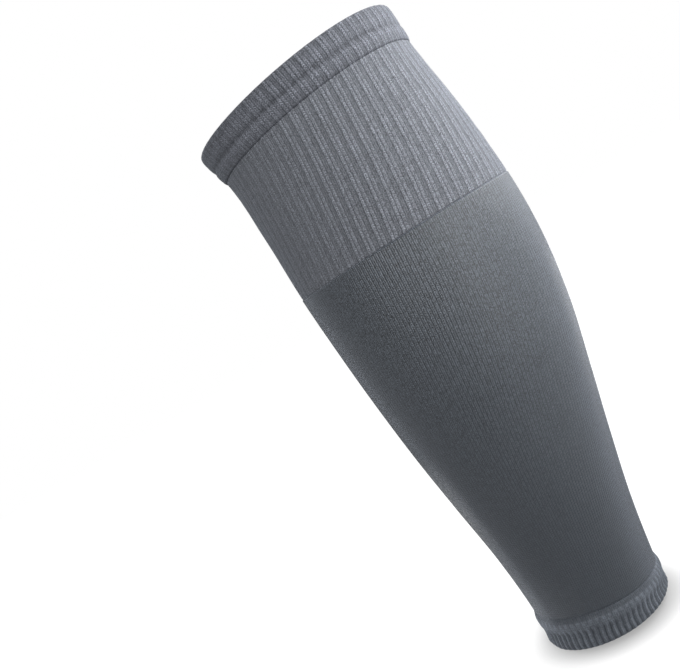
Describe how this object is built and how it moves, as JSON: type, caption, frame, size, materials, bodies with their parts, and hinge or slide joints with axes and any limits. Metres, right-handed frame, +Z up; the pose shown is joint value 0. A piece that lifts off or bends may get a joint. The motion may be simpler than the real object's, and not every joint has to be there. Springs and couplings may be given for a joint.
{
  "type": "footless football sock",
  "caption": "Knitted grey footless sock for the lower leg: a tube shaped to the calf, with a turned welt, a ribbed cuff, a plain compression sleeve and a ribbed ankle hem.",
  "frame": {"origin": "on the leg's axis, level with the lower edge of the ribbed cuff, where the calf is fullest", "axes": "+Z up the leg from the ankle to the knee, +X towards the calf, -X towards the shin, Y from side to side"},
  "size_m": [0.1269, 0.116, 0.3146],
  "materials": {
    "welt_rib": "doubled 2x1 rib knit, matt",
    "cuff_rib": "2x1 rib knit, matt",
    "plain_knit": "fine plain compression knit, slight sheen",
    "hem_rib": "2x1 rib knit with a stitched roll, matt"
  },
  "bodies": {
    "root": {"top_welt": "welt_rib", "ribbed_cuff": "cuff_rib", "calf_sleeve": "plain_knit", "ankle_hem": "hem_rib"}
  },
  "joints": []
}
